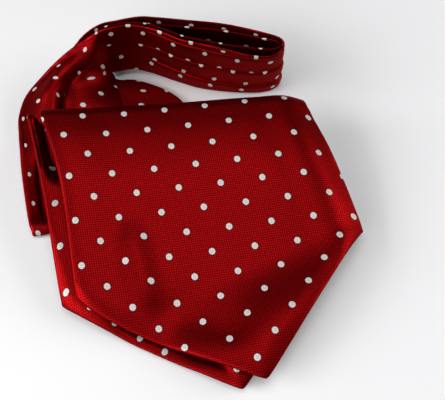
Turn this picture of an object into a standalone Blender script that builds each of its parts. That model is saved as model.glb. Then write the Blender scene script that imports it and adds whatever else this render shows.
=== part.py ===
"""A self-tie silk cravat folded for display: two pointed blades, their hidden layers, and the neckband.

The blades' points lie toward -Y and their fold toward +Y.  +X is across the blades, +Z is up, and the
origin is on the surface under the middle of the whole article.  Sizes are in millimetres and are turned
to metres when a mesh is made.
"""
import math
from collections import namedtuple

import bpy
from mathutils import Vector

MM = 0.001

# Driving sizes
BLADE_WIDTH = 140.6        # across one blade, edge to edge
BLADE_SHIFT = 8.6          # how far the under blade sits to the left of the top one
BLADE_WALL = 2.2           # silk, interlining and silk lining together
PLY_WALL = 1.2             # one layer of the pleated neckband
SPREAD_WALL = 1.5          # the cloth where the neckband opens out
SEAM_GAP = 0.35            # between neighbouring pieces
SHOULDER_Y = -42.0         # where the straight sides end and the point begins
POINT_DEPTH = 60.5         # from the shoulders to the tip
POINT_X = 13.7             # the top blade's tip
LEFT_X = -61.2             # the top blade's left side

RED_SILK = (0.33, 0.004, 0.010, 1.0)
DEEP_SILK = (0.22, 0.003, 0.008, 1.0)


# ---------------------------------------------------------------- tables and curves

def mix(a, b, t):
    return a + (b - a) * t


def smooth_between(rows, t):
    """Value at t (0 to 1) on a smooth curve through evenly spaced rows of numbers or vectors."""
    place = min(max(t, 0.0), 1.0) * (len(rows) - 1)
    low = min(int(place), len(rows) - 2)
    f = place - low
    p1, p2 = rows[low], rows[low + 1]
    p0 = rows[low - 1] if low else p1 * 2 - p2
    p3 = rows[low + 2] if low + 2 < len(rows) else p2 * 2 - p1
    return (p1 * 2 + (p2 - p0) * f + (p0 * 2 - p1 * 5 + p2 * 4 - p3) * f * f
            + (p1 * 3 - p0 - p2 * 3 + p3) * f ** 3) * 0.5


def at_key(rows, key):
    """Value at key from (key, value) rows, with straight runs between them."""
    for (k0, v0), (k1, v1) in zip(rows, rows[1:]):
        if key <= k1:
            return mix(v0, v1, max(0.0, (key - k0) / (k1 - k0)))
    return rows[-1][1]


# ---------------------------------------------------------------- Blender objects

def silk(name, colour, roughness):
    material = bpy.data.materials.new(name)
    material.use_nodes = True
    shader = material.node_tree.nodes["Principled BSDF"]
    shader.inputs["Base Color"].default_value = colour
    shader.inputs["Roughness"].default_value = roughness
    shader.inputs["Metallic"].default_value = 0.0
    return material


def add_object(name, mesh, material, collection):
    piece = bpy.data.objects.new(name, mesh)
    mesh.materials.append(material)
    mesh.shade_smooth()
    collection.objects.link(piece)
    return piece


def grid_mesh(name, rows, closed_rows=False):
    """A quad surface through equal rows of points; each row may close on itself."""
    wide = len(rows[0])
    points = [tuple(c * MM for c in p) for row in rows for p in row]
    faces = []
    for r in range(len(rows) - 1):
        for c in range(wide if closed_rows else wide - 1):
            n = (c + 1) % wide
            faces.append((r * wide + c, (r + 1) * wide + c, (r + 1) * wide + n, r * wide + n))
    if closed_rows:
        faces.append(tuple(range(wide)))
        faces.append(tuple(reversed(range((len(rows) - 1) * wide, len(rows) * wide))))
    mesh = bpy.data.meshes.new(name)
    mesh.from_pydata(points, [], faces)
    mesh.update()
    return mesh


def sheet(name, rows, wall, material, collection):
    """Cloth: an open surface given a wall on its hidden side."""
    piece = add_object(name, grid_mesh(name, rows), material, collection)
    solid = piece.modifiers.new("wall", "SOLIDIFY")
    solid.thickness = wall * MM
    solid.offset = -1.0
    solid.use_even_offset = False
    return piece


# ---------------------------------------------------------------- the two blades

# The line that both blades fold over: x, y of its middle, and height of the top blade's crest
Fold = namedtuple("Fold", "x y z")
FOLD = (
    Fold(-69.6, 53.0, 31.8),
    Fold(-62.6, 49.2, 34.6),
    Fold(-28.6, 43.6, 35.6),
    Fold(12.0, 36.9, 34.8),
    Fold(46.0, 31.2, 32.2),
    Fold(63.0, 28.4, 30.0),
    Fold(72.8, 26.8, 26.8))

Blade = namedtuple("Blade", "left_x fold_left_x fold_right_x tip_x low_z inset bulge sag")

# low_z holds heights of the upper face along the pointed end, as (share across, height)
TOP_BLADE = Blade(
    left_x=LEFT_X, fold_left_x=-62.4, fold_right_x=72.6, tip_x=POINT_X,
    low_z=((0.0, 12.0), (0.35, 9.4), (0.53, 7.0), (0.75, 10.5), (1.0, 13.6)),
    inset=0.0, bulge=2.2, sag=0.0)
UNDER_BLADE = Blade(
    left_x=LEFT_X - BLADE_SHIFT + 0.6, fold_left_x=-69.4, fold_right_x=64.0, tip_x=2.9,
    low_z=((0.0, 7.2), (0.35, 4.4), (0.53, 2.9), (0.75, 5.6), (1.0, 8.6)),
    inset=BLADE_WALL + 0.8, bulge=2.2, sag=3.4)

TOP_ROLL = 8.2             # radius of the top blade's fold
BLADE_COLUMNS = (0.0, 0.03, 0.07, 0.15, 0.24, 0.34, 0.44, 0.50, 0.533, 0.57, 0.64, 0.74, 0.84, 0.92, 0.97, 1.0)
BLADE_ROWS = 12
ROLL_STEPS = 9
ROLL_ANGLE = math.radians(196)


def fold_at(x):
    return Vector((x, at_key([(f.x, f.y) for f in FOLD], x), at_key([(f.x, f.z) for f in FOLD], x)))


def blade_point(blade, across, along):
    """Upper face of a blade: across 0 to 1 from the left side, along 0 to 1 from the point to the fold."""
    tip_share = (blade.tip_x - blade.left_x) / BLADE_WIDTH
    toward_tip = across / tip_share if across < tip_share else (1 - across) / (1 - tip_share)
    low = Vector((blade.left_x + BLADE_WIDTH * across, SHOULDER_Y - POINT_DEPTH * toward_tip,
                  at_key(blade.low_z, across)))
    crest = fold_at(mix(blade.fold_left_x, blade.fold_right_x, across)) - Vector((0, 0, blade.inset))
    point = low.lerp(crest, along)
    point.x += blade.bulge * math.sin(math.pi * along) * across ** 3
    level_off = 0.75 * math.sin(math.pi * along) * (crest.z - low.z) / 20
    side_dip = blade.sag * max(0.0, 1 - across / 0.12) * math.sin(math.pi * along ** 2)
    point.z += level_off - side_dip
    return point


def blade_rows(blade):
    radius = TOP_ROLL - blade.inset
    rows = []
    for across in BLADE_COLUMNS:
        row = [blade_point(blade, across, r / BLADE_ROWS) for r in range(BLADE_ROWS + 1)]
        top = row[-1]
        for step in range(1, ROLL_STEPS + 1):
            turn = ROLL_ANGLE * step / ROLL_STEPS
            row.append(top + Vector((0, radius * math.sin(turn), radius * (math.cos(turn) - 1))))
        rows.append(row)
    return rows


# ---------------------------------------------------------------- hidden layers

# Plan of the folded layers: front is the hidden fold nearest the points, back lies under the blades' fold
HIDDEN_LEFT = -66.6
HIDDEN_RIGHT = 64.0
HIDDEN_FRONT = 2.6
HIDDEN_BACK_LEFT = 47.5
HIDDEN_BACK_RIGHT = 25.0
HIDDEN_CORNER = 5.0
HIDDEN_PLIES = 4
PLY_GROOVE = 1.0           # how deep the groove between two plies is at the edge
SURFACE_STEPS = 5


def under_blade_height(x, y):
    """Height of the under blade's upper face at a place under it."""
    share = (x - UNDER_BLADE.left_x) / BLADE_WIDTH
    low = blade_point(UNDER_BLADE, share, 0).y
    crest = blade_point(UNDER_BLADE, share, 1).y
    return blade_point(UNDER_BLADE, share, min(1.0, (y - low) / (crest - low))).z


def hidden_back(x):
    return mix(HIDDEN_BACK_LEFT, HIDDEN_BACK_RIGHT, (x - HIDDEN_LEFT) / (HIDDEN_RIGHT - HIDDEN_LEFT))


def hidden_top(x, y):
    """Under the blade, and lower than the blades' rolled fold toward the back."""
    under = under_blade_height(x, y) - BLADE_WALL - 1.2
    roll_floor = fold_at(x).z - 2 * TOP_ROLL - 1.0
    back = max(0.0, min(1.0, (y - hidden_back(x) + 14) / 8))
    return min(under, mix(under, roll_floor, back))


def hidden_outline():
    """Plan of the layers with rounded corners, anticlockwise from the front left."""
    corners = ((HIDDEN_LEFT, HIDDEN_FRONT), (HIDDEN_RIGHT, HIDDEN_FRONT),
               (HIDDEN_RIGHT, HIDDEN_BACK_RIGHT), (HIDDEN_LEFT, HIDDEN_BACK_LEFT))
    outline = []
    for n, (x, y) in enumerate(corners):
        here = Vector((x, y))
        before = (Vector(corners[n - 1]) - here).normalized() * HIDDEN_CORNER
        after = (Vector(corners[(n + 1) % 4]) - here).normalized() * HIDDEN_CORNER
        start, end = here + before, here + after
        outline += [start.lerp(here, t).lerp(here.lerp(end, t), t) for t in (0.0, 0.33, 0.67, 1.0)]
        next_start = Vector(corners[(n + 1) % 4]) - after
        outline += [end.lerp(next_start, k / 7) for k in range(1, 7)]
    return outline


def hidden_layers(material, collection):
    """The folded layers share one solid; grooves round its edge show the plies."""
    outline = hidden_outline()
    middle = sum(outline, Vector((0, 0))) / len(outline)

    def ring(height_share, inset):
        points = []
        for p in outline:
            q = p + (middle - p).normalized() * inset
            points.append(Vector((q.x, q.y, hidden_top(q.x, q.y) * height_share)))
        return points

    rings = [ring(0.0, PLY_GROOVE)]
    for ply in range(HIDDEN_PLIES):
        rings += [ring((ply + f) / HIDDEN_PLIES, inset) for f, inset in ((0.3, 0.0), (0.75, 0.0), (1.0, PLY_GROOVE))]
    for step in range(1, SURFACE_STEPS + 1):
        share = step / (SURFACE_STEPS + 0.5)
        points = [p.lerp(middle, share) for p in outline]
        rings.append([Vector((p.x, p.y, hidden_top(p.x, p.y))) for p in points])
    mesh = grid_mesh("hidden_layers", list(reversed(rings)), closed_rows=True)
    return add_object("hidden_layers", mesh, material, collection)


# The lowest ply's left margin, which shows beside the under blade: y, the rolled rim's height, the
# hollow's height beside it, and the rim's x
Margin = namedtuple("Margin", "y rim hollow x")
MARGIN = (
    Margin(51.0, 6.6, 5.6, -78.2),
    Margin(44.0, 6.6, 4.2, -78.4),
    Margin(36.0, 6.0, 2.2, -78.6),
    Margin(24.0, 5.4, 1.8, -78.8),
    Margin(12.0, 5.0, 1.8, -79.0),
    Margin(6.0, 5.2, 2.0, -79.0),
    Margin(4.4, 6.0, 5.2, -79.0),
    Margin(2.4, 5.6, 5.4, -78.8),
    Margin(1.0, 3.4, 3.4, -78.2))
MARGIN_INNER = HIDDEN_LEFT - SEAM_GAP


def lower_margin(material, collection):
    """The margin runs from where the neckband has opened out down to the hidden fold, which shows here."""
    rows = []
    for m in MARGIN:
        foot = 0.0 if m.y > MARGIN[-1].y else 0.6
        section = ((m.x + 0.8, foot), (m.x, m.rim * 0.45), (m.x + 0.6, m.rim * 0.85), (m.x + 2.0, m.rim),
                   (m.x + 4.0, mix(m.rim, m.hollow, 0.3)), (m.x + 6.4, m.hollow),
                   (MARGIN_INNER, m.hollow), (MARGIN_INNER, foot))
        rows.append([Vector((x, m.y, z)) for x, z in section])
    mesh = grid_mesh("lower_margin", rows, closed_rows=True)
    return add_object("lower_margin", mesh, material, collection)


# ---------------------------------------------------------------- where the neckband opens out

# Three lines run down the cloth: its rim, the crease where its folds part, and its other edge.
# roll and panel are how far the cloth swells between the rim and the crease, and beyond the crease.
Spread = namedtuple("Spread", "rim crease edge roll panel")
UPPER_SPREAD = (
    Spread((-21.4, 95.8, 40.0), (-21.4, 95.4, 20.0), (-21.2, 95.2, 5.5), 0.0, 0.0),
    Spread((-32.0, 97.0, 36.5), (-31.0, 88.6, 23.0), (-21.2, 89.6, 6.0), 0.8, 1.0),
    Spread((-46.0, 93.8, 28.5), (-41.0, 84.4, 20.5), (-20.6, 84.0, 6.2), 2.0, 2.5),
    Spread((-58.0, 91.3, 21.0), (-48.2, 80.2, 15.5), (-20.0, 78.0, 7.0), 4.0, 4.0),
    Spread((-68.5, 84.8, 15.0), (-51.8, 75.2, 13.0), (-19.8, 72.0, 7.5), 4.5, 4.0),
    Spread((-74.5, 75.5, 11.0), (-52.4, 69.5, 11.0), (-19.7, 66.5, 7.5), 4.0, 4.0),
    Spread((-77.2, 63.5, 9.0), (-54.0, 62.0, 9.5), (-19.6, 58.5, 6.6), 2.5, 3.0),
    Spread((-78.2, 53.2, 7.8), (-56.0, 52.0, 8.5), (-20.0, 45.5, 5.6), 1.2, 1.5))
UNDER_SPREAD = (
    Spread((-21.4, 98.9, 39.0), (-21.4, 99.3, 20.0), (-21.2, 99.5, 1.2), 0.0, 0.0),
    Spread((-33.0, 100.6, 31.0), (-31.5, 97.6, 15.0), (-20.4, 94.8, 1.9), 0.0, 0.0),
    Spread((-47.0, 97.2, 21.0), (-42.0, 91.0, 9.0), (-16.6, 89.2, 3.0), 0.0, 0.0),
    Spread((-59.0, 93.5, 13.0), (-46.0, 85.0, 6.5), (-7.3, 86.4, 3.4), 0.0, 0.0),
    Spread((-68.0, 86.0, 7.5), (-46.0, 79.5, 5.0), (3.8, 78.4, 3.4), 0.0, 0.0),
    Spread((-73.0, 75.5, 4.5), (-46.0, 72.5, 3.8), (10.8, 70.7, 3.2), 0.0, 0.0),
    Spread((-75.6, 63.5, 3.2), (-46.0, 62.0, 3.2), (14.6, 62.0, 3.0), 0.0, 0.0),
    Spread((-76.4, 53.6, 2.6), (-46.0, 51.5, 2.6), (16.6, 50.0, 2.6), 0.0, 0.0))
SPREAD_STATIONS = 18
SPREAD_STEPS = 6           # across each side of the crease


def spread_rows(table):
    rows = []
    for station in range(SPREAD_STATIONS):
        t = station / (SPREAD_STATIONS - 1)
        rim, crease, edge = (smooth_between([Vector(getattr(s, line)) for s in table], t)
                             for line in ("rim", "crease", "edge"))
        roll, panel = (smooth_between([getattr(s, swell) for s in table], t) for swell in ("roll", "panel"))
        row = []
        for step in range(SPREAD_STEPS + 1):
            f = step / SPREAD_STEPS
            row.append(rim.lerp(crease, f) + Vector((0, 0, roll * math.sin(math.pi * f ** 0.8))))
        for step in range(1, SPREAD_STEPS + 1):
            f = step / SPREAD_STEPS
            row.append(crease.lerp(edge, f) + Vector((0, 0, panel * math.sin(math.pi * f ** 0.6))))
        rows.append(row)
    return rows


# ---------------------------------------------------------------- neckband

# The pleated band stands on its lower edge and turns back on itself.  A row gives the line between its
# two plies at the foot and at the head, the heights of the foot and of each ply's head, and how far the
# outer ply's head stands off.
Band = namedtuple("Band", "foot_x foot_y head_x head_y foot inner_head outer_head puff")
BAND = (
    Band(-20.9, 96.0, -20.9, 95.6, 5.0, 40.0, 39.4, 0.0),
    Band(-10.0, 96.4, -9.5, 94.0, 4.4, 40.6, 40.0, 0.1),
    Band(-1.5, 94.2, 0.8, 89.8, 2.6, 40.6, 38.6, 0.8),
    Band(6.8, 89.8, 10.7, 83.6, 1.0, 40.4, 36.0, 1.5),
    Band(14.8, 84.0, 18.0, 79.2, 0.3, 40.0, 34.6, 1.9),
    Band(25.5, 76.4, 26.2, 74.6, 0.0, 40.0, 34.0, 1.7),
    Band(39.5, 70.0, 38.0, 68.0, 0.0, 40.0, 34.0, 1.3),
    Band(54.0, 65.4, 51.0, 62.0, 0.0, 40.0, 34.8, 1.4),
    Band(63.5, 64.4, 61.0, 58.2, 0.0, 40.0, 36.6, 1.0),
    Band(68.6, 66.2, 66.2, 58.4, 0.0, 40.4, 39.4, 0.4),
    Band(70.0, 69.2, 67.8, 61.4, 0.0, 40.4, 41.0, 0.1),
    Band(67.2, 71.6, 66.0, 65.0, 0.0, 40.0, 41.2, 0.0),
    Band(60.0, 75.2, 59.6, 69.8, 0.0, 38.8, 41.2, 0.0),
    Band(50.0, 79.6, 49.5, 76.2, 0.0, 38.4, 41.2, 0.0),
    Band(38.0, 84.4, 38.0, 82.2, 0.0, 38.4, 41.2, 0.0),
    Band(22.0, 90.4, 22.0, 88.6, 0.0, 38.4, 41.2, 0.0),
    Band(7.0, 96.2, 7.0, 93.8, 0.0, 38.4, 41.2, 0.0),
    Band(-3.0, 99.4, -3.0, 96.8, 0.2, 38.8, 41.2, 0.0),
    Band(-20.9, 100.6, -20.9, 98.7, 0.6, 39.0, 40.8, 0.0))
TURN = 0.5555              # share along the table where the near stretch ends and the far one begins
TURN_GAP = 0.004
STRETCH_STATIONS = 24
FOOT_CLEARANCE = 0.3        # the band's lower edge just clears the surface
PLEAT_SHARES = (0.0, 0.235, 0.285, 0.40, 0.535, 0.585, 0.80, 1.0)
PLEAT_DEPTHS = (0.2, 0.0, 0.9, 0.5, 0.0, 0.9, 0.5, 0.0)


def band_rows(start, end, outer):
    """One ply of the neckband from share start to share end along it."""
    lines = {name: [getattr(b, name) for b in BAND] for name in Band._fields}
    rows = []
    for station in range(STRETCH_STATIONS):
        t = mix(start, end, station / (STRETCH_STATIONS - 1))
        row = {name: smooth_between(values, t) for name, values in lines.items()}
        ahead = {name: smooth_between(lines[name], min(1.0, t + 0.01)) for name in ("head_x", "head_y")}
        behind = {name: smooth_between(lines[name], max(0.0, t - 0.01)) for name in ("head_x", "head_y")}
        along = Vector((ahead["head_x"] - behind["head_x"], ahead["head_y"] - behind["head_y"], 0)).normalized()
        outward = Vector((along.y, -along.x, 0))
        foot = Vector((row["foot_x"], row["foot_y"], max(FOOT_CLEARANCE, row["foot"])))
        head = Vector((row["head_x"], row["head_y"], row["inner_head"]))
        top = row["outer_head"] if outer else row["inner_head"]
        front, back = [], []
        for share, pleat in zip(PLEAT_SHARES, PLEAT_DEPTHS):
            level = mix(foot.z, top, share)
            point = foot.lerp(head, (level - foot.z) / (head.z - foot.z))
            point.z = level
            reach = pleat + row["puff"] * share ** 2 if outer else 0.0
            face = SEAM_GAP / 2 + PLY_WALL + reach if outer else -SEAM_GAP / 2
            front.append(point + outward * face)
            back.append(point + outward * (face - PLY_WALL))
        rows.append(front + back[::-1])
    return rows


def neckband_ply(name, start, end, outer, material, collection):
    mesh = grid_mesh(name, band_rows(start, end, outer), closed_rows=True)
    return add_object(name, mesh, material, collection)


# ---------------------------------------------------------------- build

for old in list(bpy.data.objects):
    bpy.data.objects.remove(old, do_unlink=True)

cravat = bpy.data.collections.new("silk_cravat")
bpy.context.scene.collection.children.link(cravat)
face_silk = silk("face_silk", RED_SILK, 0.42)
shade_silk = silk("shade_silk", DEEP_SILK, 0.5)

sheet("blade_top", blade_rows(TOP_BLADE), BLADE_WALL, face_silk, cravat)
sheet("blade_under", blade_rows(UNDER_BLADE), BLADE_WALL, face_silk, cravat)
hidden_layers(shade_silk, cravat)
lower_margin(face_silk, cravat)
sheet("spread_upper", spread_rows(UPPER_SPREAD), SPREAD_WALL, face_silk, cravat)
sheet("spread_under", spread_rows(UNDER_SPREAD), SPREAD_WALL, shade_silk, cravat)
for stretch, (start, end) in {"near": (0.0, TURN - TURN_GAP), "far": (TURN + TURN_GAP, 1.0)}.items():
    neckband_ply("neckband_%s_outer" % stretch, start, end, True, face_silk, cravat)
    neckband_ply("neckband_%s_inner" % stretch, start, end, False, shade_silk, cravat)
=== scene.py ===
"""A self-tie silk cravat folded for display: woven spotted silk with soft folded edges.

The two blades' points lie toward -Y, their shared fold toward +Y.  The pleated neckband stands on its
lower edge behind them, turns back on itself, and opens out on the left to pass under the blades.
Sizes in the tables are millimetres.
"""
import math
from collections import namedtuple

import bpy
import numpy as np
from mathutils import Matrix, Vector


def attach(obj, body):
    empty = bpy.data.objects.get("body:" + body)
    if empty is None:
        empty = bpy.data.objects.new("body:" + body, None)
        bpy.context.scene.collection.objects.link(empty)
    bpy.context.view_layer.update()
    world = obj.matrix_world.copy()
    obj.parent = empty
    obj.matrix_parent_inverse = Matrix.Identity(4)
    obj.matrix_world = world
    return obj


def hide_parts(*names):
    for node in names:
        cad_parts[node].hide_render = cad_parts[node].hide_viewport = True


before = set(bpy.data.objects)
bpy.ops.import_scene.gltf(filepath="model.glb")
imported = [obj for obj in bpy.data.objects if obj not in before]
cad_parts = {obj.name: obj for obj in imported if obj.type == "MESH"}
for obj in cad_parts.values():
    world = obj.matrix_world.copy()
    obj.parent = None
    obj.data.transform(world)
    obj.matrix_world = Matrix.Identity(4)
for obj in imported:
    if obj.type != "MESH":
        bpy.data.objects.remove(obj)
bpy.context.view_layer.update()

BODY = "root"
MM = 0.001

# ---------------------------------------------------------------- sizes shared with the frame's pieces

BLADE_WIDTH = 140.6        # across one blade, edge to edge
BLADE_WALL = 2.2           # silk, interlining and silk lining together
SHOULDER_Y = -42.0         # where the straight sides end and the point begins
POINT_DEPTH = 60.5         # from the shoulders to the tip
TOP_ROLL = 8.2             # radius of the top blade's fold
ROLL_ANGLE = math.radians(196)
ROLL_STEPS = 26
PLY_WALL = 1.2             # one layer of the neckband
SPOT_PITCH = 21.3          # from a woven spot to the next one straight along the cloth
SPOT_RADIUS = 1.58
WEAVE_REPEAT = 1.08        # from one float of the weave to the next of its kind
STEP = 1.35                # longest side of a mesh cell
EDGE_ROWS = (0.12, 0.35, 0.7, 1.15, 1.8, 2.7)    # distances from a rounded edge where the mesh has rows
EDGE_ROUND = 0.62          # the edge is rounded over this share of the wall


# ---------------------------------------------------------------- curves

def mix(a, b, t):
    return a + (b - a) * t


def ease(low, high, x):
    """0 on low's side, 1 on high's side, and a soft change between them."""
    f = np.clip((x - low) / (high - low), 0.0, 1.0)
    return f * f * (3 - 2 * f)


def curve_at(keys, values, x):
    """Values on a smooth curve through unevenly spaced keys."""
    keys, values = np.asarray(keys, float), np.asarray(values, float)
    x = np.clip(np.asarray(x, float), keys[0], keys[-1])
    slopes = np.gradient(values, keys, axis=0)
    low = np.clip(np.searchsorted(keys, x, side="right") - 1, 0, len(keys) - 2)
    wide = keys[low + 1] - keys[low]
    f = (x - keys[low]) / wide
    spread = (...,) + (None,) * (values.ndim - 1)
    f, wide = f[spread], wide[spread]
    start = (1 + 2 * f) * (1 - f) ** 2 * values[low] + f * (1 - f) ** 2 * wide * slopes[low]
    end = f * f * (3 - 2 * f) * values[low + 1] + f * f * (f - 1) * wide * slopes[low + 1]
    return start + end


def column(table, name):
    return np.array([getattr(row, name) for row in table], float)


def run_lengths(points, axis):
    """Distance along the grid's lines from their first point."""
    steps = np.linalg.norm(np.diff(points, axis=axis), axis=-1)
    start = np.zeros_like(np.take(steps, [0], axis=axis))
    return np.concatenate([start, np.cumsum(steps, axis=axis)], axis=axis)


def spaced(length, edge_start=True, edge_end=True):
    """Shares from 0 to 1 along a length, close together where the cloth's edge is rounded."""
    close = np.array(EDGE_ROWS) / length
    inner = np.linspace(0, 1, max(4, int(length / STEP)))
    first = close[-1] if edge_start else -1.0
    last = 1 - close[-1] if edge_end else 2.0
    keep = inner[(inner > first) & (inner < last)]
    parts = [[0.0], close if edge_start else [], keep, 1 - close if edge_end else [], [1.0]]
    return np.unique(np.concatenate(parts).round(6))


# ---------------------------------------------------------------- cloth shells

def normals_of(points):
    """Unit normals of a grid, on the side where columns turn toward rows."""
    down = np.gradient(points, axis=0)
    over = np.gradient(points, axis=1)
    up = np.cross(over, down)
    return up / np.maximum(np.linalg.norm(up, axis=-1, keepdims=True), 1e-9)


def edge_share(points, wall, slant):
    """How much of its wall the cloth has left at each place: none at an edge, all of it inside.

    slant allows for a first edge that runs across the columns at a slant, as a blade's point does.
    """
    along, over = run_lengths(points, 0), run_lengths(points, 1)
    nearest = np.minimum.reduce([along * slant, along[-1:] - along, over, over[:, -1:] - over])
    f = np.clip(nearest / (wall * EDGE_ROUND), 0, 1)
    return np.sqrt(1 - (1 - f) ** 2)


def cloth_piece(name, points, cloth, wall, material, slant=1.0):
    """A closed shell of cloth with rounded edges round a grid of middle points, all in millimetres.

    cloth holds each point's place on the flat silk and becomes the piece's UV map, in metres.
    """
    rows, columns = points.shape[:2]
    half = 0.5 * wall * edge_share(points, wall, slant)
    lift = normals_of(points) * half[..., None]
    inner = np.zeros((rows, columns), bool)
    inner[1:-1, 1:-1] = True
    upper = np.arange(rows * columns).reshape(rows, columns)
    lower = upper.copy()
    lower[inner] = rows * columns + np.arange(inner.sum())
    above = (points + lift * inner[..., None]).reshape(-1, 3)
    below = (points - lift)[inner]
    places = np.concatenate([above, below]) * MM
    flat = np.concatenate([cloth.reshape(-1, 2), cloth[inner]]) * MM

    def quads(ids, turned):
        ring = (ids[:-1, :-1], ids[:-1, 1:], ids[1:, 1:], ids[1:, :-1])
        return np.stack(ring[::-1] if turned else ring, -1).reshape(-1, 4)

    faces = np.concatenate([quads(upper, False), quads(lower, True)])
    mesh = bpy.data.meshes.new(name)
    mesh.from_pydata(places.tolist(), [], faces.tolist())
    mesh.uv_layers.new(name="cloth")
    mesh.uv_layers["cloth"].data.foreach_set("uv", flat[faces.reshape(-1)].reshape(-1))
    mesh.shade_smooth()
    mesh.materials.append(material)
    mesh.update()
    piece = bpy.data.objects.new(name, mesh)
    bpy.context.scene.collection.objects.link(piece)
    return piece


# A soft trough (depth above zero) or ridge (below zero) along a straight line in plan
Crease = namedtuple("Crease", "x0 y0 x1 y1 depth width")

# A straight line in plan beyond which the cloth lies higher, on the line's right
Step = namedtuple("Step", "x0 y0 x1 y1 rise width")


def beside(line, x, y):
    """A line's length, and how far along it and how far to its right each place in plan is."""
    run = np.array([line.x1 - line.x0, line.y1 - line.y0])
    length = np.linalg.norm(run)
    way = run / length
    along = (x - line.x0) * way[0] + (y - line.y0) * way[1]
    aside = (x - line.x0) * way[1] - (y - line.y0) * way[0]
    return length, along, aside


def crease_depth(creases, x, y):
    """How far the soft creases lower the cloth; each one fades in and out along its line."""
    total = np.zeros_like(x)
    for crease in creases:
        length, along, aside = beside(crease, x, y)
        fade_in = ease(-0.12 * length, 0.3 * length, along)
        fade_out = 1 - ease(0.7 * length, 1.12 * length, along)
        total += crease.depth * np.exp(-(aside / crease.width) ** 2) * (fade_in * fade_out)
    return total


def step_rise(steps, x, y):
    """How far the soft steps raise the cloth; each one fades in along its line."""
    total = np.zeros_like(x)
    for step in steps:
        length, along, aside = beside(step, x, y)
        fade_in = ease(-0.15 * length, 0.3 * length, along)
        total += step.rise * ease(-step.width, step.width, aside) * fade_in
    return total


# ---------------------------------------------------------------- silk

def socket_list(tree, side, rows):
    for name, kind, value in rows:
        made = tree.interface.new_socket(name=name, in_out=side, socket_type=kind)
        if value is not None:
            made.default_value = value


class Nodes:
    """Adds nodes to one tree; a number or an output socket may be given for any input."""

    def __init__(self, tree):
        self.tree = tree

    def add(self, kind, inputs=(), **settings):
        node = self.tree.nodes.new(kind)
        for name, value in settings.items():
            setattr(node, name, value)
        for key, value in dict(inputs).items():
            self.feed(node.inputs[key], value)
        return node

    def feed(self, socket, value):
        if isinstance(value, bpy.types.NodeSocket):
            self.tree.links.new(value, socket)
        else:
            socket.default_value = value

    def math(self, operation, a, b=0.0, c=0.0, clamp=False):
        node = self.add("ShaderNodeMath", {0: a, 1: b, 2: c}, operation=operation)
        node.use_clamp = clamp
        return node.outputs[0]

    def between(self, value, low, high, to_low=0.0, to_high=1.0):
        inputs = {"Value": value, "From Min": low, "From Max": high, "To Min": to_low, "To Max": to_high}
        return self.add("ShaderNodeMapRange", inputs, interpolation_type="SMOOTHSTEP").outputs["Result"]

    def colour(self, factor, a, b, blend="MIX"):
        node = self.add("ShaderNodeMix", data_type="RGBA", blend_type=blend)
        for socket, value in ((node.inputs[0], factor), (node.inputs[6], a), (node.inputs[7], b)):
            self.feed(socket, value)
        return node.outputs[2]


def shader_group(name, inputs, outputs):
    tree = bpy.data.node_groups.new(name, "ShaderNodeTree")
    socket_list(tree, "INPUT", inputs)
    socket_list(tree, "OUTPUT", outputs)
    nodes = Nodes(tree)
    return tree, nodes, nodes.add("NodeGroupInput").outputs, nodes.add("NodeGroupOutput").inputs


def make_weave_group():
    """Basket weave cut on the bias: warp and weft floats alternate on squares turned 45 degrees."""
    tree, n, given, result = shader_group(
        "basket_weave",
        [("Cloth", "NodeSocketVector", None), ("Repeat", "NodeSocketFloat", WEAVE_REPEAT * MM)],
        [("Tone", "NodeSocketFloat", None), ("Height", "NodeSocketFloat", None)])
    parts = n.add("ShaderNodeSeparateXYZ", {0: given["Cloth"]})
    turns = n.math("DIVIDE", 2 * math.pi, given["Repeat"])
    across = n.math("COSINE", n.math("MULTIPLY", parts.outputs["X"], turns))
    along = n.math("COSINE", n.math("MULTIPLY", parts.outputs["Y"], turns))
    floats = n.math("MULTIPLY", n.math("ADD", across, along), 0.5)
    slub = n.add("ShaderNodeTexNoise", {"Vector": given["Cloth"], "Scale": 900.0, "Detail": 1.0})
    uneven = n.math("MULTIPLY_ADD", slub.outputs["Fac"], 0.5, -0.25)
    lit = n.math("POWER", n.math("MULTIPLY_ADD", floats, 0.5, n.math("ADD", uneven, 0.5), clamp=True), 1.6)
    n.feed(result["Tone"], lit)
    n.feed(result["Height"], n.math("ABSOLUTE", floats))
    return tree


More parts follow.
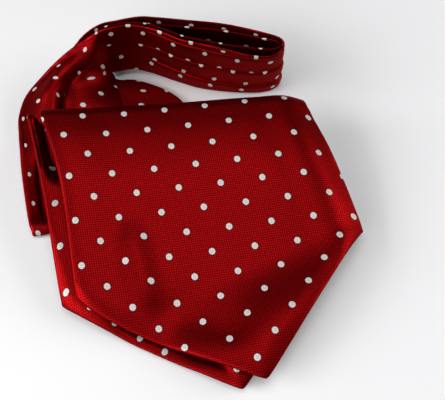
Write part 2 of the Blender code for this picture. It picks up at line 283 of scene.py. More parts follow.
def make_spot_group():
    """Round woven spots on a half-drop grid."""
    tree, n, given, result = shader_group(
        "woven_spots",
        [("Cloth", "NodeSocketVector", None), ("Pitch", "NodeSocketFloat", SPOT_PITCH * MM),
         ("Radius", "NodeSocketFloat", SPOT_RADIUS * MM)],
        [("Spot", "NodeSocketFloat", None), ("Edge", "NodeSocketFloat", None),
         ("Middle", "NodeSocketFloat", None)])
    inverse = n.math("DIVIDE", 1.0, given["Pitch"])
    scaled = n.add("ShaderNodeVectorMath", {0: given["Cloth"], "Scale": inverse}, operation="SCALE")
    grid = scaled.outputs[0]
    reach = []
    for drop in ((0.5, 0.5, 0.0), (0.0, 0.0, 0.0)):
        moved = n.add("ShaderNodeVectorMath", {0: grid, 1: drop}, operation="ADD").outputs[0]
        cell = n.add("ShaderNodeVectorMath", {0: moved}, operation="FRACTION").outputs[0]
        off = n.add("ShaderNodeVectorMath", {0: cell, 1: (0.5, 0.5, 0.0)}, operation="SUBTRACT").outputs[0]
        reach.append(n.add("ShaderNodeVectorMath", {0: off}, operation="LENGTH").outputs["Value"])
    nearest = n.math("MULTIPLY", n.math("MINIMUM", *reach), given["Pitch"])
    ragged = n.add("ShaderNodeTexNoise", {"Vector": given["Cloth"], "Scale": 1500.0, "Detail": 1.0})
    nearest = n.math("ADD", nearest, n.math("MULTIPLY_ADD", ragged.outputs["Fac"], 0.0004, -0.0002))
    share = n.math("DIVIDE", nearest, given["Radius"])
    n.feed(result["Spot"], n.between(share, 0.9, 1.08, 1.0, 0.0))
    # A darker ring just outside each spot: partly painted shade round the raised spot, partly the darker
    # floats at its edge
    outside = n.between(share, 1.0, 1.45, 1.0, 0.0)
    n.feed(result["Edge"], n.math("MULTIPLY", outside, n.between(share, 0.85, 1.05)))
    n.feed(result["Middle"], n.between(share, 0.1, 0.65, 1.0, 0.0))
    return tree


WEAVE = make_weave_group()
SPOTS = make_spot_group()


def spotted_silk(name, deep, bright, roughness):
    """Red silk with silver spots; deep and bright are the colours of its weft and warp floats."""
    material = bpy.data.materials.new(name)
    material.use_nodes = True
    n = Nodes(material.node_tree)
    shader = material.node_tree.nodes["Principled BSDF"]
    cloth = n.add("ShaderNodeUVMap", uv_map="cloth").outputs["UV"]
    weave = n.add("ShaderNodeGroup", node_tree=WEAVE)
    spots = n.add("ShaderNodeGroup", node_tree=SPOTS)
    n.feed(weave.inputs["Cloth"], cloth)
    n.feed(spots.inputs["Cloth"], cloth)
    tone, spot = weave.outputs["Tone"], spots.outputs["Spot"]
    red = n.colour(tone, deep, bright)
    # Darkens the red in the ring round each spot: painted shade round the raised spot, together with the
    # darker floats there
    rim = n.math("MULTIPLY", spots.outputs["Edge"], 0.8)
    red = n.colour(rim, red, (deep[0] * 0.3, deep[1], deep[2], 1))
    silver = n.colour(tone, (0.50, 0.46, 0.44, 1), (0.76, 0.73, 0.70, 1))
    middle = n.math("MULTIPLY", spots.outputs["Middle"], 0.6)
    silver = n.colour(middle, silver, (0.45, 0.45, 0.43, 1))
    n.feed(shader.inputs["Base Color"], n.colour(spot, red, silver))
    n.feed(shader.inputs["Metallic"], n.math("MULTIPLY_ADD", spot, -0.66, 0.88))
    rough = n.math("MULTIPLY_ADD", tone, -0.08, roughness + 0.04)
    n.feed(shader.inputs["Roughness"], n.math("MULTIPLY_ADD", spot, 0.1, rough))
    raised = n.math("MULTIPLY_ADD", spot, 0.7, n.math("MULTIPLY", weave.outputs["Height"], 0.5))
    bump = n.add("ShaderNodeBump", {"Height": raised, "Strength": 0.35, "Distance": 0.00025})
    n.feed(shader.inputs["Normal"], bump.outputs["Normal"])
    shader.inputs["Specular IOR Level"].default_value = 0.2
    shader.inputs["Specular Tint"].default_value = (0.7, 0.10, 0.10, 1)
    return material


FACE_SILK = spotted_silk(
    "spotted_face_silk", (0.066, 0.0008, 0.0011, 1), (0.38, 0.0034, 0.0048, 1), 0.36)
# A darker copy of the same face silk: painted shade, for the neckband's inner ply and the hidden folds
PAINTED_SHADE_SILK = spotted_silk(
    "spotted_silk_painted_shade", (0.028, 0.0004, 0.0006, 1), (0.15, 0.0014, 0.0020, 1), 0.40)

# ---------------------------------------------------------------- the two blades

# The line that both blades fold over: x, y of its middle, and height of the top blade's crest
Fold = namedtuple("Fold", "x y z")
FOLD = (
    Fold(-69.6, 53.0, 34.6),
    Fold(-62.6, 49.2, 36.0),
    Fold(-28.6, 43.6, 33.2),
    Fold(12.0, 36.9, 32.8),
    Fold(46.0, 31.2, 33.2),
    Fold(63.0, 28.4, 32.4),
    Fold(72.8, 26.8, 27.4))

# How far the silk has dropped below the fold's crest, at distances from the crest toward the point, and
# how far below the top blade the under one lies
Drape = namedtuple("Drape", "away left middle right gap")
DRAPE = (
    Drape(0.0, 0.0, 0.0, 0.0, 3.0),
    Drape(12.0, 1.3, 0.8, 0.9, 3.0),
    Drape(25.0, 4.2, 2.7, 3.0, 3.0),
    Drape(45.0, 10.0, 7.8, 8.0, 3.1),
    Drape(70.0, 16.8, 14.6, 14.4, 3.2),
    Drape(95.0, 23.4, 20.6, 19.6, 3.8),
    Drape(112.0, 26.8, 24.0, 22.4, 5.2),
    Drape(142.0, 31.6, 28.6, 26.0, 5.9))
DRAPE_X = (-61.0, 14.0, 79.0)     # where the table's left, middle and right columns stand

CREASES = (
    Crease(-31, -14, -30, -58, -2.4, 7),
    Crease(-30, -60, 14, -84, 2.6, 13),
    Crease(-58, 12, 20, -8, -0.5, 12),
    Crease(34, 6, 74, -34, -0.6, 12))

STEPS = (
    Step(-36, -76, 92, -53, 8.2, 19),)

# Where a blade's corners stand and how its silk lies: how much of the gap and of the sag it takes, how
# its right side drops and reaches out, how its left side and lower left edge bow outward, where its
# spots' grid starts and how it leans at the left, and how much of the fold's roll its left end keeps
Blade = namedtuple("Blade", """left_x fold_left_x fold_right_x tip_x lowered sag side_drop side_reach
                   left_bow low_bow spots_x spots_lean left_roll""")
TOP_BLADE = Blade(
    left_x=-61.2, fold_left_x=-62.4, fold_right_x=72.6, tip_x=13.7,
    lowered=0.0, sag=0.0, side_drop=1.2, side_reach=0.8, left_bow=3.2, low_bow=4.6,
    spots_x=0.0, spots_lean=0.0, left_roll=0.5)
UNDER_BLADE = Blade(
    left_x=-69.2, fold_left_x=-69.4, fold_right_x=64.0, tip_x=2.9,
    lowered=1.0, sag=4.2, side_drop=1.0, side_reach=0.0, left_bow=0.8, low_bow=1.6,
    spots_x=-9.3, spots_lean=0.27, left_roll=1.0)
TIP_ROUND = 0.018          # how much of the point's depth its tip is rounded over
LOWEST = 2.3               # a blade's upper face comes no nearer the table than this
OUTSET = 0.6               # the folded edge stands out beyond the frame's line
SWELL = 0.8                # how far the right sides bow outward
RIGHT_SPREAD = 0.088       # the right sides stand this share further out at the shoulders than at the fold


def fold_at(x):
    return curve_at(column(FOLD, "x"), np.stack([column(FOLD, "y"), column(FOLD, "z")], -1), x)


def drape_at(blade, x, y):
    """Height of a blade's upper face at a place in plan in front of the fold."""
    away = np.clip(fold_at(x)[..., 0] - y, 0, None)
    crest = fold_at(x * (1 - RIGHT_SPREAD * ease(0.0, 66.0, away)))[..., 1]
    tables = np.stack([column(DRAPE, side) for side in ("left", "middle", "right")], -1)
    drops = curve_at(column(DRAPE, "away"), tables, away)
    share = np.clip((x - DRAPE_X[0]) / (DRAPE_X[1] - DRAPE_X[0]), -0.12, 1)
    beyond = np.clip((x - DRAPE_X[1]) / (DRAPE_X[2] - DRAPE_X[1]), 0, 1)
    drop = mix(drops[..., 0], drops[..., 1], np.sin(np.pi / 2 * share))
    drop = drop + (drops[..., 2] - drops[..., 1]) * (1 - np.cos(np.pi / 2 * beyond))
    gap = curve_at(column(DRAPE, "away"), column(DRAPE, "gap"), away) * blade.lowered
    waves = step_rise(STEPS, x, y) - crease_depth(CREASES, x, y) * ease(2.0, 20.0, away)
    return crest - drop - gap + waves


HOLLOW_MIDDLE = 0.065      # these three are shares of the blade's width
HOLLOW_WIDTH = 0.045
HOLLOW_REACH = 0.12
PLUNGE = 2.2               # by the fold the hollow is deeper by this many times the sag
PLUNGE_LIP = (2.2, 7.5)    # from the left edge, where the plunge begins and where it is full
PLUNGE_END = (40.0, 16.0)  # from the left edge, where it has ended and where it is still full
PLUNGE_ALONG = (0.64, 0.84)     # shares of the way to the fold between which it grows


def side_sag(blade, across, along):
    """The hollow beside the under blade's left edge, whose lip stays up; it is deepest by the fold."""
    hollow = np.exp(-((across - HOLLOW_MIDDLE) / HOLLOW_WIDTH) ** 2)
    hollow = hollow + 0.4 * np.clip(1 - across / HOLLOW_REACH, 0, 1)
    from_edge = across * BLADE_WIDTH
    plunge = ease(*PLUNGE_LIP, from_edge) * ease(*PLUNGE_END, from_edge) * ease(*PLUNGE_ALONG, along)
    return blade.sag * (hollow * np.sin(np.pi * np.clip(along, 0, 1) ** 2.2) + PLUNGE * plunge)


def point_sag(blade, left_point, along):
    """The hollow behind the lip of the under blade's point, on its left side."""
    hollow = np.exp(-((along - 0.085) / 0.05) ** 2)
    return 0.7 * blade.sag * hollow * ease(0.22, 0.5, left_point) * ease(1.0, 0.9, left_point)


ROLL_GROWS = (14.06, 74.06)     # from the left edge, where the roll starts to grow and where it is full
ROW_RUN = 128.0            # spaces the rows; a blade's sides are shorter and its middle longer
RIGHT_MARGIN = 26.0        # the right side drops over this width
LEFT_MARGIN = 6.0
LOW_MARGIN = 0.1           # the lower edge drops over this share of the length


def blade_grid(blade):
    """Upper face of a blade: columns run across from the left side, rows from the point over the fold."""
    tip_share = (blade.tip_x - blade.left_x) / BLADE_WIDTH
    across = np.union1d(spaced(BLADE_WIDTH), [tip_share])[None, :]
    along = spaced(ROW_RUN, edge_end=False)[:, None]
    toward_tip = np.where(across < tip_share, across / tip_share, (1 - across) / (1 - tip_share))
    low_x = blade.left_x - OUTSET + (BLADE_WIDTH + 2 * OUTSET) * across
    low_y = SHOULDER_Y - OUTSET - POINT_DEPTH * (1 - np.sqrt((1 - toward_tip) ** 2 + TIP_ROUND ** 2))
    crest_x = mix(blade.fold_left_x, blade.fold_right_x, across)
    right = np.clip(1 - (1 - across) * BLADE_WIDTH / RIGHT_MARGIN, 0, 1) ** 3
    left = np.clip(1 - across * BLADE_WIDTH / LEFT_MARGIN, 0, 1) ** 2
    x = mix(low_x, crest_x, along) + np.sin(np.pi * along) * SWELL * across ** 3
    x = x + blade.side_reach * right * ease(1.0, 0.6, along)
    x = x + blade.left_bow * np.sin(np.pi * along ** 1.3) * (1 - across) ** 3
    y = mix(low_y, fold_at(crest_x)[..., 0], along)
    left_point = np.where(across < tip_share, across / tip_share, 1.0)
    y = y - blade.low_bow * np.sin(np.pi * np.sqrt(left_point)) * (1 - along) ** 4
    z = drape_at(blade, x, y)
    z -= side_sag(blade, across, along) + point_sag(blade, left_point, along)
    low = np.clip(1 - along / LOW_MARGIN, 0, 1) ** 2
    z -= (blade.side_drop * right + 0.7 * left) * ease(1.0, 0.85, along) + 1.8 * low
    z -= 1.0 * left * ease(0.8, 1.0, along)
    z = LOWEST + 0.5 * (z - LOWEST + np.sqrt((z - LOWEST) ** 2 + 1.0))
    face = np.stack([x, y, z], -1)
    radius = TOP_ROLL - DRAPE[0].gap * blade.lowered
    kept = mix(blade.left_roll, 1.0, ease(*ROLL_GROWS, across * BLADE_WIDTH))
    turn = np.linspace(0, ROLL_ANGLE, ROLL_STEPS + 1)[1:, None] * kept
    ring = np.stack([0 * turn, radius * np.sin(turn), radius * (np.cos(turn) - 1)], -1)
    return np.concatenate([face, face[-1:] + ring])


# How the spots' grid lies on a blade.  Silk on the bias skews, so its rows turn more than its columns.
COLUMNS_TURN = math.tan(math.radians(3.5))
ROWS_TURN = math.tan(math.radians(7.0))
STRETCH_ACROSS = 1.035
STRETCH_ALONG = 0.985
SPOTS_START = (-7.5, -15.0)
LEAN_X = -17.0             # left of this line the under blade's spots lean
LEAN_SHIFT = 27.0
LEAN_RUN = 12.0            # and right of it they come back toward their rows over this distance


def blade_cloth(points, blade):
    """Place on the flat silk.  It is turned a little on the blade and has stretched along the bias."""
    crest = len(points) - ROLL_STEPS - 1
    rolled = run_lengths(points, 0)
    x = points[..., 0] - blade.spots_x
    y = points[..., 1].copy()
    y[crest + 1:] = y[crest] + rolled[crest + 1:] - rolled[crest]
    back = np.clip(x - LEAN_X, 0, LEAN_RUN)
    leaned = blade.spots_lean * (np.minimum(x, LEAN_X) + LEAN_SHIFT - back)
    across = SPOTS_START[0] + STRETCH_ACROSS * (x - COLUMNS_TURN * y)
    along = SPOTS_START[1] - STRETCH_ALONG * (y + ROWS_TURN * x) + leaned
    return np.stack([across, along], -1)


MIDDLE_DEPTH = 0.4         # a blade's middle surface lies this share of its wall below its upper face
POINT_SLANT = 0.75         # distance from the point's edge, as a share of the distance along a column


def make_blade(name, node, blade):
    points = blade_grid(blade)
    middle = points - normals_of(points) * BLADE_WALL * MIDDLE_DEPTH
    cloth = blade_cloth(points, blade)
    piece = cloth_piece(name, middle, cloth, BLADE_WALL, FACE_SILK, slant=POINT_SLANT)
    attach(piece, BODY)
    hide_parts(node)
    return piece


top_blade = make_blade("top_blade", "blade_top", TOP_BLADE)
under_blade = make_blade("under_blade", "blade_under", UNDER_BLADE)

# ---------------------------------------------------------------- neckband: the outer cloth

# The band stands on its lower edge.  A row gives the line between its two plies at the foot and at the
# head, the heights of the foot and of each ply's head, how far the outer ply's head stands off, and the
# heights of the outer ply's three tucks and how much the highest one shows.
Band = namedtuple("Band", "foot_x foot_y head_x head_y foot inner_head outer_head puff low mid high shows")
BAND = (
    Band(-20.9, 96.0, -20.9, 95.6, 5.0, 40.4, 40.0, 0.0, 20.5, 28.5, 38.6, 0.0),
    Band(-10.0, 96.4, -9.5, 94.4, 4.4, 42.0, 41.4, 0.1, 19.0, 27.6, 39.2, 0.0),
    Band(-1.5, 94.2, 0.8, 90.6, 2.6, 42.2, 41.6, 0.6, 16.0, 26.6, 39.2, 0.5),
    Band(6.8, 89.8, 10.7, 84.2, 1.0, 41.4, 40.8, 0.9, 13.4, 25.0, 38.0, 1.0),
    Band(14.8, 84.0, 18.0, 79.2, 0.3, 40.0, 39.4, 1.0, 11.4, 23.4, 36.8, 1.2),
    Band(25.5, 76.4, 26.2, 74.6, 0.0, 40.0, 39.2, 1.0, 9.8, 22.4, 35.9, 1.2),
    Band(39.5, 70.0, 38.0, 68.0, 0.0, 40.0, 38.8, 1.1, 8.2, 21.6, 34.8, 0.9),
    Band(54.0, 65.4, 51.0, 62.0, 0.0, 40.0, 36.8, 1.8, 6.9, 20.4, 33.4, 0.3),
    Band(63.5, 64.4, 61.0, 58.2, 0.0, 40.0, 37.0, 1.4, 8.0, 22.6, 34.0, 0.2),
    Band(68.6, 66.2, 66.2, 58.4, 0.0, 40.4, 39.4, 0.4, 8.6, 23.6, 35.4, 0.2),
    Band(70.0, 69.2, 67.8, 61.4, 0.0, 40.4, 41.0, 0.1, 9.0, 23.4, 36.0, 0.3),
    Band(67.2, 71.6, 66.0, 65.0, 0.0, 40.0, 41.2, 0.0, 9.4, 22.6, 36.0, 0.6),
    Band(60.0, 75.2, 59.6, 69.8, 0.0, 38.8, 41.2, 0.0, 10.0, 22.0, 35.6, 1.0),
    Band(50.0, 79.6, 49.5, 76.2, 0.0, 38.4, 41.2, 0.0, 10.6, 21.6, 35.0, 1.0),
    Band(38.0, 84.4, 38.0, 82.2, 0.0, 38.4, 41.2, 0.0, 10.4, 21.8, 34.6, 1.0),
    Band(22.0, 90.4, 22.0, 88.6, 0.0, 38.4, 41.2, 0.0, 10.0, 22.4, 35.0, 1.0),
    Band(7.0, 96.2, 7.0, 93.8, 0.0, 38.8, 41.9, 0.0, 10.6, 23.0, 35.6, 1.0),
    Band(-3.0, 99.4, -3.0, 96.8, 0.2, 39.2, 41.8, 0.0, 11.4, 23.6, 35.6, 0.8),
    Band(-20.9, 101.4, -20.9, 99.9, 0.6, 36.8, 38.6, 0.0, 11.6, 22.6, 33.2, 0.5))
PLY_GAP = 0.35

# Where the neckband opens out.  Three lines run down the cloth: its rim, the crease where its folds
# part, and its other edge.  roll and panel are how far it swells before and beyond the crease; tuck is
# how much of the pleats is left, curl the radius of its rolled rim, and parted how much of the cloth that
# the pleats held is hidden in the crease.
Spread = namedtuple("Spread", "rim crease edge roll panel tuck curl parted")
UPPER_SPREAD = (
    Spread((-32.0, 96.4, 33.6), (-31.0, 88.6, 22.5), (-21.2, 89.6, 6.0), 2.0, 1.0, 0.8, 1.2, 1.0),
    Spread((-47.0, 94.4, 25.5), (-41.0, 84.4, 18.5), (-20.6, 84.0, 6.2), 5.5, 2.5, 0.3, 1.0, 1.0),
    Spread((-59.6, 92.6, 15.5), (-48.2, 80.2, 12.5), (-20.0, 78.0, 7.0), 8.5, 5.0, 0.0, 1.0, 1.0),
    Spread((-70.4, 86.0, 10.0), (-51.8, 75.2, 9.5), (-19.8, 72.0, 7.5), 9.5, 6.0, 0.0, 1.2, 1.0),
    Spread((-76.0, 76.2, 7.5), (-53.4, 69.5, 7.6), (-19.7, 66.5, 7.5), 8.5, 6.0, 0.0, 1.8, 1.0),
    Spread((-77.8, 63.8, 7.0), (-57.0, 62.0, 6.6), (-19.6, 58.5, 6.6), 6.0, 4.0, 0.0, 2.4, 1.0),
    Spread((-78.2, 53.2, 7.4), (-63.0, 52.0, 6.0), (-20.0, 47.5, 5.6), 2.5, 1.0, 0.0, 2.4, 0.5),
    Spread((-78.6, 44.0, 6.8), (-69.5, 43.0, 4.4), (-20.0, 39.0, 4.4), 0.8, 0.2, 0.0, 2.4, 0.0),
    Spread((-78.8, 34.0, 6.0), (-71.5, 33.5, 2.8), (-20.0, 31.0, 4.0), 0.7, 0.0, 0.0, 2.3, 0.0),
    Spread((-79.0, 22.0, 5.4), (-72.0, 22.0, 2.4), (-20.0, 21.0, 4.0), 0.6, 0.0, 0.0, 2.2, 0.0),
    Spread((-79.0, 10.0, 5.0), (-72.2, 10.0, 2.6), (-20.0, 10.0, 4.0), 0.6, 0.0, 0.0, 2.1, 0.0),
    Spread((-79.0, 5.2, 5.2), (-72.2, 5.0, 4.8), (-20.0, 5.4, 4.6), 0.2, 0.0, 0.0, 1.9, 0.0),
    Spread((-78.6, 2.6, 4.4), (-72.0, 2.2, 4.4), (-20.0, 2.6, 4.4), 0.0, 0.0, 0.0, 1.2, 0.0))
UNDER_SPREAD = (
    Spread((-31.0, 102.4, 32.0), (-30.5, 98.6, 16.0), (-20.4, 94.8, 1.9), 0.0, 0.0, 0.8, 1.2, 1.0),
    Spread((-45.5, 98.6, 20.0), (-42.0, 91.0, 9.0), (-16.6, 89.2, 3.0), 0.0, 0.6, 0.3, 1.2, 1.0),
    Spread((-59.0, 93.5, 13.0), (-46.0, 85.0, 6.5), (-7.3, 86.4, 3.4), 0.0, 0.8, 0.0, 1.2, 1.0),
    Spread((-68.0, 86.0, 7.5), (-46.0, 79.5, 5.0), (3.8, 78.4, 3.4), 0.0, 0.8, 0.0, 1.2, 1.0),
    Spread((-73.0, 75.5, 4.5), (-46.0, 72.5, 3.8), (10.8, 70.7, 3.2), 0.0, 0.6, 0.0, 1.2, 1.0),
    Spread((-75.6, 63.5, 3.2), (-46.0, 62.0, 3.2), (14.6, 62.0, 3.0), 0.0, 0.3, 0.0, 1.2, 1.0),
    Spread((-76.4, 53.6, 2.6), (-46.0, 51.5, 2.6), (16.6, 50.0, 2.6), 0.0, 0.0, 0.0, 1.2, 1.0))

# The band's tucks, lowest first: each one's line in the mesh, how proud its folded edge stands, and the
# place on the flat silk of that folded edge, down the band
Tuck = namedtuple("Tuck", "line share proud cloth")
TUCKS = (
    Tuck("low", 0.26, 0.9, 39.8),
    Tuck("mid", 0.54, 0.75, 11.0),
    Tuck("high", 0.87, 0.7, -13.0))
HEAD_CLOTH = -18.0         # the same place reckoned from the cloth above the highest tuck
CREASE_SHARE = 0.46        # where the open cloth's crease meets the band, down from its head
CURL_STEPS = 9
CURL_ANGLE = math.radians(80)
CURL_PULL = 6.0            # the rolled rim draws the cloth in over this distance
FOOT_LOW = 0.5             # the band's plies come no nearer the table than this
INNER_SINK = 0.4           # the inner ply's head stands this much below its row in the table
TUCK_ROWS = (-1.4, -0.9, -0.5, -0.22, 0.0, 0.22, 0.5, 0.9)    # the mesh's rows round a tuck's fold
BAND_HEIGHT = 40.0


def tuck_relief(share, shows):
    """How far the tucks bring the cloth forward at each height share."""
    relief = np.zeros((len(shows), share.shape[-1]))
    low = 0.0
    for tuck in TUCKS:
        f = (share - low) / (tuck.share - low)
        rise = np.where((f >= 0) & (f <= 1), ease(0.0, 0.9, f), 0.0)
        nose = np.sqrt(np.clip(1 - ((f - 0.93) / 0.07).clip(0, 1) ** 2, 0, 1))
        amount = shows[:, None] if tuck.line == "high" else 1.0
        relief += tuck.proud * rise * nose * amount
        low = tuck.share
    return relief


def band_point(t, outer):
    """The neckband's stretches: each ply's foot, head and outward way at shares t along the table."""
    keys = np.linspace(0, 1, len(BAND))
    row = {name: curve_at(keys, column(BAND, name), t) for name in Band._fields}
    ways = []
    for name in ("head_x", "head_y"):
        ways.append(curve_at(keys, column(BAND, name), np.minimum(t + 0.01, 1))
                    - curve_at(keys, column(BAND, name), np.maximum(t - 0.01, 0)))
    way = np.stack(ways, -1)
    way /= np.linalg.norm(way, axis=-1, keepdims=True)
    outward = np.stack([way[..., 1], -way[..., 0], np.zeros(len(t))], -1)
    foot = np.stack([row["foot_x"], row["foot_y"], np.maximum(FOOT_LOW, row["foot"])], -1)
    head = np.stack([row["head_x"], row["head_y"], row["inner_head"]], -1)
    top = row["outer_head"] if outer else row["inner_head"] - INNER_SINK
    return foot, head, top, outward, row


def curled(profile, side, radius):
    """Adds a rolled rim before each profile's first point, turning away from side."""
    reach = run_lengths(profile, 1)
    way = profile[:, 3] - profile[:, 0]
    way /= np.linalg.norm(way, axis=-1, keepdims=True)
    side = side - way * np.sum(side * way, -1, keepdims=True)
    side /= np.linalg.norm(side, axis=-1, keepdims=True)
    radius = radius[:, None, None]
    angle = np.linspace(CURL_ANGLE, 0, CURL_STEPS + 1)[None, :-1, None]
    centre = profile[:, :1] + way[:, None] * radius - side[:, None] * radius
    rim = centre + side[:, None] * radius * np.cos(angle) - way[:, None] * radius * np.sin(angle)
    start = profile[:, :1] + way[:, None] * radius
    pull = np.clip(1 - reach / CURL_PULL, 0, 1)[..., None] ** 2
    body = profile + (start - profile[:, :1]) * pull
    return np.concatenate([rim, body], 1)


def profile_shares():
    """Places down the cloth from rim to edge, closer together round the tucks' folded edges."""
    close = np.array(TUCK_ROWS) / BAND_HEIGHT
    folds = np.array([1 - tuck.share for tuck in TUCKS])
    lines = [fold + close for fold in folds]
    body = np.append(np.linspace(0, 1, 30), CREASE_SHARE + np.array([-0.0005, 0.0005]))
    far = body[np.min(np.abs(body[:, None] - folds), 1) > 0.04]
    ends = np.array([0.0, 0.006, 0.015, 0.03, 0.97, 0.985, 0.994, 1.0])
    return np.unique(np.concatenate([far, *lines, ends]).round(6))


SHARES = profile_shares()


def tuck_levels(foot, top, row):
    """Heights of the outer ply down its profile, spread evenly between one tuck and the next."""
    marks = np.stack([foot[:, 2], row["low"], row["mid"], row["high"], top], -1)
    shares = [0.0] + [tuck.share for tuck in TUCKS] + [1.0]
    return np.array([np.interp(1 - SHARES, shares, levels) for levels in marks])


def band_profiles(t, outer):
    """The middle surface of one of the neckband's plies, a profile from head to foot at each share t."""
    foot, head, top, outward, row = band_point(t, outer)
    share = 1 - SHARES[None, :]
    if outer:
        level = tuck_levels(foot, top, row)
    else:
        level = mix(foot[:, 2:3], top[:, None], share)
    lean = ((level - foot[:, 2:3]) / (head[:, 2:3] - foot[:, 2:3]))[..., None]
    points = foot[:, None] + (head - foot)[:, None] * lean
    points[..., 2] = level
    if outer:
        pressed = ease(0.02, 0.2, t) * ease(1.0, 0.9, t)
        reach = PLY_GAP / 2 + PLY_WALL / 2 + 0.1 + tuck_relief(share, row["shows"]) * pressed[:, None]
        reach = reach + row["puff"][:, None] * share ** 2
    else:
        reach = -PLY_GAP / 2 - PLY_WALL / 2 + 0 * share
    return points + outward[:, None] * reach[..., None]


def band_cloth(t):
    """Places down the flat silk for the outer ply at shares t along the band."""
    foot, _, top, _, row = band_point(t, True)
    share = 1 - SHARES
    level = tuck_levels(foot, top, row)
    down = HEAD_CLOTH + row["high"][:, None] - level
    for tuck in TUCKS[::-1]:
        down = np.where(share <= tuck.share, tuck.cloth + row[tuck.line][:, None] - level, down)
    return down


def spread_profiles(table):
    """The middle surface of the opened-out cloth, a profile from rim to edge for each row of a table."""
    rim, crease, edge = (column(table, line)[:, None] for line in ("rim", "crease", "edge"))
    before = np.clip(SHARES / CREASE_SHARE, 0, 1)[None, :, None]
    beyond = np.clip((SHARES - CREASE_SHARE) / (1 - CREASE_SHARE), 0, 1)[None, :, None]
    points = mix(rim, crease, before) + (edge - crease) * beyond
    roll, panel = column(table, "roll")[:, None], column(table, "panel")[:, None]
    points[..., 2] += roll * ease(0.0, 0.8, before[..., 0]) * ease(1.0, 0.8, before[..., 0])
    points[..., 2] += panel * np.sin(np.pi * beyond[..., 0] ** 0.6)
    return points


STRIP_CLOTH = -13.0        # place down the flat silk of the open cloth's rim
PANEL_CLOTH = 54.0         # and of its other edge


def open_places(profiles, parted):
    """Places down the flat silk where the tucks have opened: the deep crease takes up the rest."""
    down = run_lengths(profiles, 1)
    taken = (PANEL_CLOTH - STRIP_CLOTH - down[:, -1:]) * parted[:, None]
    return STRIP_CLOTH + down + taken * (SHARES > CREASE_SHARE)[None, :]


GUIDE_COLUMN = 20          # the column whose length spaces the mesh's rows
BAND_ROWS = 55
BAND_CURL = 0.75           # radii of the rims' rolled edges
INNER_CURL = 0.7
TURN_CURL = 1.0

# The lower end of the opened-out cloth turns back under it: y and height of its rows, from the turn on
UNDER_TURN = ((1.0, 2.8), (1.2, 1.4), (2.6, 0.8), (8.0, 0.8), (20.0, 0.8), (34.0, 0.8))


def row_places(keyed):
    """Distances of keyed profiles along the cloth, and those of the mesh's evenly spaced rows."""
    steps = np.linalg.norm(np.diff(keyed[:, GUIDE_COLUMN], axis=0), axis=-1)
    place = np.concatenate([[0], np.cumsum(steps)])
    return place, np.linspace(0, place[-1], int(place[-1] / STEP))


def outer_cloth():
    """Middle surface and flat places of the band's outer cloth, from the fold under the blades, up the
    left side, along the near stretch, round the turn, back along the far one and down again."""
    t = np.linspace(0, 1, BAND_ROWS)
    band = band_profiles(t, True)
    upper, under = spread_profiles(UPPER_SPREAD)[::-1], spread_profiles(UNDER_SPREAD)
    low = upper[0]
    turned = []
    for y, z in UNDER_TURN:
        row = low.copy()
        row[:, 1] += y - low[:, 1].mean()
        row[:, 2] = z
        turned.append(row)
    turned = np.array(turned[::-1])
    keyed = np.concatenate([turned, upper, band, under])
    radius = np.concatenate([[TURN_CURL] * len(turned), column(UPPER_SPREAD, "curl")[::-1],
                             [BAND_CURL] * len(t), column(UNDER_SPREAD, "curl")])
    band_down = band_cloth(t)
    left, right = len(turned) + len(upper), len(turned) + len(upper) + len(t)
    parted = np.concatenate([np.zeros(len(turned)), column(UPPER_SPREAD, "parted")[::-1],
                             np.ones(len(t)), column(UNDER_SPREAD, "parted")])
    opened = open_places(keyed, parted)
    opened[left:right] = band_down
    for k, row in enumerate(UPPER_SPREAD):
        opened[left - 1 - k] = mix(opened[left - 1 - k], band_down[0], row.tuck)
    for k, row in enumerate(UNDER_SPREAD):
        opened[right + k] = mix(opened[right + k], band_down[-1], row.tuck)
    place, fine = row_places(keyed)
    rows = curve_at(place, keyed, fine)
    down = curve_at(place, opened, fine)
    rim = np.repeat(down[:, :1], CURL_STEPS, 1) - 1.0
    start = int(np.searchsorted(fine, place[left]))
    rows = curled(rows, normals_of(rows)[:, 2], curve_at(place, radius, fine))
    return rows, np.concatenate([rim, down], 1), start


BAND_STRETCH = 1.2         # the band's silk has drawn in along its length
BAND_LEAN = 0.1            # and its spots' columns lean
BAND_START = 10.0          # from the band's left end to its first spot in the middle row
STRIP_COLUMN = 8           # the strip's length is reckoned along this column
PANEL_SHARE = 0.64         # and the panel's at this share of the profile
OPENING_RUN = 34.0         # the two lengths part over this distance


def band_places(rows, down, start):
    """Places along and down the flat silk; the open cloth's strip and panel keep one run each."""
    along = run_lengths(rows, 0)
    along = along - along[start:start + 1]
    shares = np.concatenate([np.zeros(CURL_STEPS), SHARES])
    strip = shares <= CREASE_SHARE
    open_end = ease(0.0, OPENING_RUN, -along[:, :1])
    panel = CURL_STEPS + int(np.searchsorted(SHARES, PANEL_SHARE))
    runs = np.where(strip, along[:, [CURL_STEPS + STRIP_COLUMN]], along[:, [panel]])
    early = np.arange(len(rows))[:, None] < start
    along = np.where(early, mix(along, runs, open_end), along)
    return np.stack([BAND_STRETCH * (along - BAND_START + BAND_LEAN * down), down], -1)


outer_rows, outer_down, start_row = outer_cloth()
outer_flat = band_places(outer_rows, outer_down, start_row)
neckband_outer = cloth_piece("neckband_outer_cloth", outer_rows, outer_flat, PLY_WALL, FACE_SILK)
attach(neckband_outer, BODY)
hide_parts("neckband_near_outer", "neckband_far_outer", "spread_upper", "spread_under",
            "lower_margin")

# ---------------------------------------------------------------- neckband: the inner ply


def inner_cloth():
    """Middle surface of the neckband's inner ply, from the left end round the turn and back."""
    band = band_profiles(np.linspace(0, 1, BAND_ROWS), False)
    place, fine = row_places(band)
    rows = curve_at(place, band, fine)
    return curled(rows, normals_of(rows)[:, 2], np.full(len(fine), INNER_CURL))


def simple_places(rows, shift):
    """Flat silk under a run of profiles whose cloth hides nothing."""
    return np.stack([run_lengths(rows, 0) + shift[0], run_lengths(rows, 1) + shift[1]], -1)


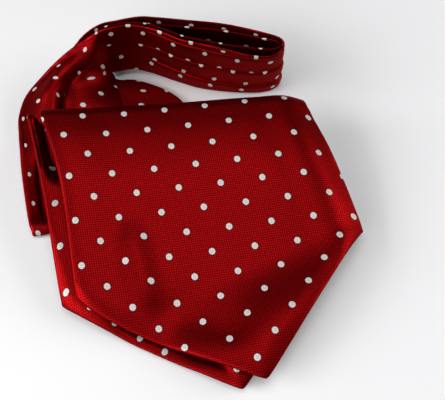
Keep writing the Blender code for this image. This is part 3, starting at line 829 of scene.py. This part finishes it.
inner_rows = inner_cloth()
inner_flat = simple_places(inner_rows, (-1.0, 1.0))
# The inner ply wears the darker copy of the silk: painted shade on its faces
neckband_inner = cloth_piece("neckband_inner_cloth", inner_rows, inner_flat, PLY_WALL, PAINTED_SHADE_SILK)
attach(neckband_inner, BODY)
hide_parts("neckband_near_inner", "neckband_far_inner")

# ---------------------------------------------------------------- hidden layers

HIDDEN_LEFT, HIDDEN_RIGHT = -66.0, 63.4
HIDDEN_FRONT = 3.4
HIDDEN_BACK_LEFT, HIDDEN_BACK_RIGHT = 47.0, 24.6
HIDDEN_PLIES = 3
HIDDEN_LOW = 7.4           # the lowest ply's middle, above the cloth that has come from the neckband
HIDDEN_WALL = 1.8
HIDDEN_BEND = 0.06         # share of the stack's depth that each bend takes up
HIDDEN_CLEAR = 2.4         # the top ply's middle lies this far below the under blade's wall
HIDDEN_LEAST = 4.0         # and at least this far above the lowest ply's
ROLL_CLEAR = 1.4           # beside the fold it lies this far below the top blade's roll
SAG_NEARBY = (-0.02, 0.0, 0.02)    # it follows the deepest sag within this share of the blade's width


def hidden_cloth():
    """The folded layers under the blades: one cloth laid back and forth."""
    across = spaced(HIDDEN_RIGHT - HIDDEN_LEFT)
    x = mix(HIDDEN_LEFT, HIDDEN_RIGHT, across)
    back = mix(HIDDEN_BACK_LEFT, HIDDEN_BACK_RIGHT, across)
    fold = fold_at(x)
    flats = np.linspace(HIDDEN_BEND, 1 - HIDDEN_BEND, 30)
    bends = np.linspace(0, math.pi, 9)[1:-1]
    grid = []
    for ply in range(HIDDEN_PLIES):
        forward = ply % 2 == 0
        run = [(f, ply) for f in (flats if forward else flats[::-1])]
        end, way = (1 - HIDDEN_BEND, HIDDEN_BEND) if forward else (HIDDEN_BEND, -HIDDEN_BEND)
        turn = [(end + way * math.sin(a), ply + (1 - math.cos(a)) / 2) for a in bends]
        for f, level in run + (turn if ply < HIDDEN_PLIES - 1 else []):
            y = mix(HIDDEN_FRONT, back, f)
            share = np.clip((x - UNDER_BLADE.left_x) / BLADE_WIDTH, 0, 1)
            along = (y - SHOULDER_Y) / (fold[:, 0] - SHOULDER_Y)
            nearby = [side_sag(UNDER_BLADE, share + shift, along) for shift in SAG_NEARBY]
            sag = np.maximum.reduce(nearby)
            under = drape_at(UNDER_BLADE, x, y) - sag - BLADE_WALL - HIDDEN_CLEAR
            under_roll = fold[:, 1] - 2 * TOP_ROLL - ROLL_CLEAR
            top = mix(under_roll, under, ease(10.0, 20.0, fold[:, 0] - y))
            top = np.maximum(top, HIDDEN_LOW + HIDDEN_LEAST)
            z = mix(HIDDEN_LOW, top, level / (HIDDEN_PLIES - 1))
            grid.append(np.stack([x, y, z], -1))
    return np.array(grid)


hidden_rows = hidden_cloth()
hidden_flat = simple_places(hidden_rows, (0.0, 0.0))
# The hidden folds wear the darker copy of the silk: painted shade
hidden = cloth_piece("hidden_folds", hidden_rows, hidden_flat, HIDDEN_WALL, PAINTED_SHADE_SILK)
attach(hidden, BODY)
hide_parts("hidden_layers")

# ---------------------------------------------------------------- floor, light and camera


def plain(name, colour, roughness):
    material = bpy.data.materials.new(name)
    material.use_nodes = True
    shader = material.node_tree.nodes["Principled BSDF"]
    shader.inputs["Base Color"].default_value = colour
    shader.inputs["Roughness"].default_value = roughness
    shader.inputs["Specular IOR Level"].default_value = 0.2
    return material


def make_floor(side):
    mesh = bpy.data.meshes.new("floor")
    corners = [(-side, -side, 0), (side, -side, 0), (side, side, 0), (-side, side, 0)]
    mesh.from_pydata(corners, [], [(0, 1, 2, 3)])
    mesh.materials.append(plain("white_table", (0.88, 0.88, 0.89, 1), 0.6))
    floor = bpy.data.objects.new("floor", mesh)
    bpy.context.scene.collection.objects.link(floor)


def aim(thing, place, target):
    thing.location = place
    thing.rotation_euler = (Vector(target) - Vector(place)).to_track_quat("-Z", "Y").to_euler()
    bpy.context.scene.collection.objects.link(thing)


LAMP_SIZE = (0.7, 0.6)


def soft_light(name, place, target, power):
    light = bpy.data.lights.new(name, "AREA")
    light.shape = "RECTANGLE"
    light.size, light.size_y = LAMP_SIZE
    light.energy = power
    aim(bpy.data.objects.new(name, light), place, target)


make_floor(3.0)
MIDDLE = (0.0, 0.0, 0.01)
soft_light("window_left", (-0.95, 0.0, 0.52), MIDDLE, 9.0)
soft_light("window_front", (-0.7, -0.6, 0.6), MIDDLE, 4.5)
soft_light("overhead", (0.0, 0.0, 1.1), (0.0, 0.0, 0.0), 3.5)
soft_light("reflector_right", (0.85, -0.1, 0.45), MIDDLE, 5.0)

world = bpy.data.worlds.new("studio")
world.use_nodes = True
world.node_tree.nodes["Background"].inputs["Color"].default_value = (0.95, 0.96, 1.0, 1)
world.node_tree.nodes["Background"].inputs["Strength"].default_value = 0.06
bpy.context.scene.world = world
bpy.context.scene.view_settings.view_transform = "Standard"

CAMERA_PLACE = (-0.0318, -0.1993, 0.3342)
CAMERA_TARGET = (0.0195, -0.0010, 0.0)

camera_data = bpy.data.cameras.new("camera")
camera_data.lens = 60.67
camera_data.sensor_width = 36.0
camera_data.clip_start, camera_data.clip_end = 0.02, 20.0
camera = bpy.data.objects.new("camera", camera_data)
aim(camera, CAMERA_PLACE, CAMERA_TARGET)
bpy.context.scene.camera = camera
